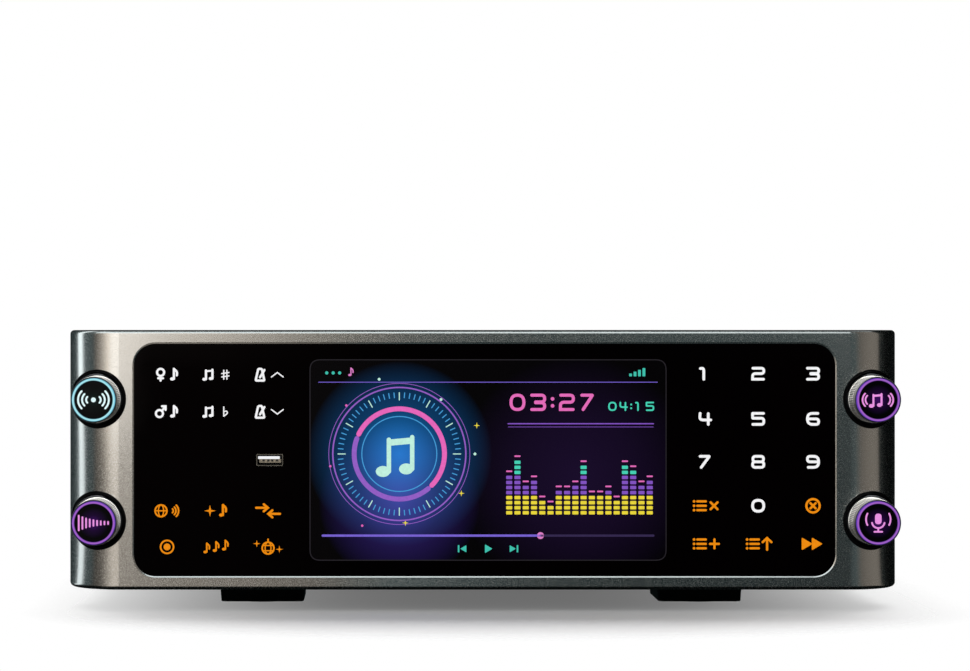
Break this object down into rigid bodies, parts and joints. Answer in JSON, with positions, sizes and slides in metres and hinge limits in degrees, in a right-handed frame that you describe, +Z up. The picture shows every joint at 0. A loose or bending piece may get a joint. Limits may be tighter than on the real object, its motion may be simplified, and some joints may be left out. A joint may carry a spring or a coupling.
{
  "type": "karaoke machine",
  "caption": "Karaoke console: a satin metal fascia with rounded ends, a black touch glass over a display, knurled ring knobs round lit caps, and a steel case on round feet.",
  "frame": {"origin": "on the floor under the middle of the whole machine's bounding box", "axes": "+X to the right as seen from the front, +Y towards the rear connectors, +Z up; the fascia faces -Y"},
  "size_m": [0.417, 0.3536, 0.1395],
  "materials": {
    "fascia_metal": "satin, bead-blasted and anodised",
    "black_glass": "polished, printed black behind",
    "black_foam": "matt",
    "dark_plastic": "matt moulded",
    "gloss_black": "glossy moulded",
    "circuit_board": "satin solder mask",
    "display_panel": "satin",
    "plated_steel": "nickel-plated",
    "plated_brass": "plated",
    "powder_coat": "fine-textured powder coat",
    "foot_rubber": "matt",
    "knob_metal": "turned and knurled",
    "heatsink_metal": "anodised",
    "drive_metal": "satin",
    "ribbon_film": "satin film",
    "cool_light": "lit diffuser",
    "violet_light": "lit diffuser"
  },
  "bodies": {
    "console": {"base_tray": "powder_coat", "board_standoffs": "plated_brass", "case_screws": "plated_steel", "display_gasket": "black_foam", "display_ribbon": "ribbon_film", "echo_knob_cap": "gloss_black", "echo_light_ring": "cool_light", "fan_frame": "dark_plastic", "fascia": "fascia_metal", "foot_front_left": "gloss_black", "foot_front_right": "gloss_black", "foot_pads": "foot_rubber", "foot_rear_left": "gloss_black", "foot_rear_right": "gloss_black", "foot_screws": "plated_steel", "front_bracket": "plated_steel", "front_glass": "black_glass", "front_port_board": "circuit_board", "front_port_shell": "plated_steel", "front_port_tongue": "dark_plastic", "glass_tape": "black_foam", "inner_screws": "plated_steel", "jack_nuts": "plated_steel", "knob_collars": "dark_plastic", "knob_cores": "dark_plastic", "knob_encoders": "dark_plastic", "lcd_module": "display_panel", "left_encoder_board": "circuit_board", "left_touch_board": "circuit_board", "main_board": "circuit_board", "main_board_parts": "dark_plastic", "main_heatsink": "heatsink_metal", "mains_inlet": "dark_plastic", "mains_pins": "plated_brass", "mic_knob_cap": "gloss_black", "mic_light_ring": "violet_light", "microphone_jacks": "dark_plastic", "music_knob_cap": "gloss_black", "music_light_ring": "violet_light", "network_port": "plated_steel", "phono_barrels": "plated_brass", "phono_block": "dark_plastic", "power_supply_board": "circuit_board", "power_supply_parts": "dark_plastic", "power_switch_body": "dark_plastic", "rear_panel": "powder_coat", "reverb_knob_cap": "gloss_black", "reverb_light_ring": "violet_light", "right_encoder_board": "circuit_board", "right_touch_board": "circuit_board", "solid_state_drive": "drive_metal", "top_cover": "powder_coat", "video_port": "plated_steel"},
    "echo_knob": {"echo_knob_ring": "knob_metal"},
    "reverb_knob": {"reverb_knob_ring": "knob_metal"},
    "music_knob": {"music_knob_ring": "knob_metal"},
    "mic_knob": {"mic_knob_ring": "knob_metal"},
    "fan_wheel": {"fan_rotor": "dark_plastic"},
    "rocker": {"power_rocker": "gloss_black"}
  },
  "joints": [
    {"name": "echo_knob_turn", "type": "hinge", "parent": "console", "child": "echo_knob", "pos_m": [-0.19245, -0.16225, 0.1052], "axis": [0, 1, 0], "continuous": true},
    {"name": "reverb_knob_turn", "type": "hinge", "parent": "console", "child": "reverb_knob", "pos_m": [-0.19245, -0.16225, 0.0448], "axis": [0, 1, 0], "continuous": true},
    {"name": "music_knob_turn", "type": "hinge", "parent": "console", "child": "music_knob", "pos_m": [0.19245, -0.16225, 0.1052], "axis": [0, 1, 0], "continuous": true},
    {"name": "mic_knob_turn", "type": "hinge", "parent": "console", "child": "mic_knob", "pos_m": [0.19245, -0.16225, 0.0448], "axis": [0, 1, 0], "continuous": true},
    {"name": "fan_spin", "type": "hinge", "parent": "console", "child": "fan_wheel", "pos_m": [0.0605, 0.15905, 0.082], "axis": [0, 1, 0], "continuous": true},
    {"name": "power_switch_rock", "type": "hinge", "parent": "console", "child": "rocker", "pos_m": [0.1225, 0.16805, 0.048], "axis": [-1, 0, 0], "range_deg": [0, 22]}
  ]
}
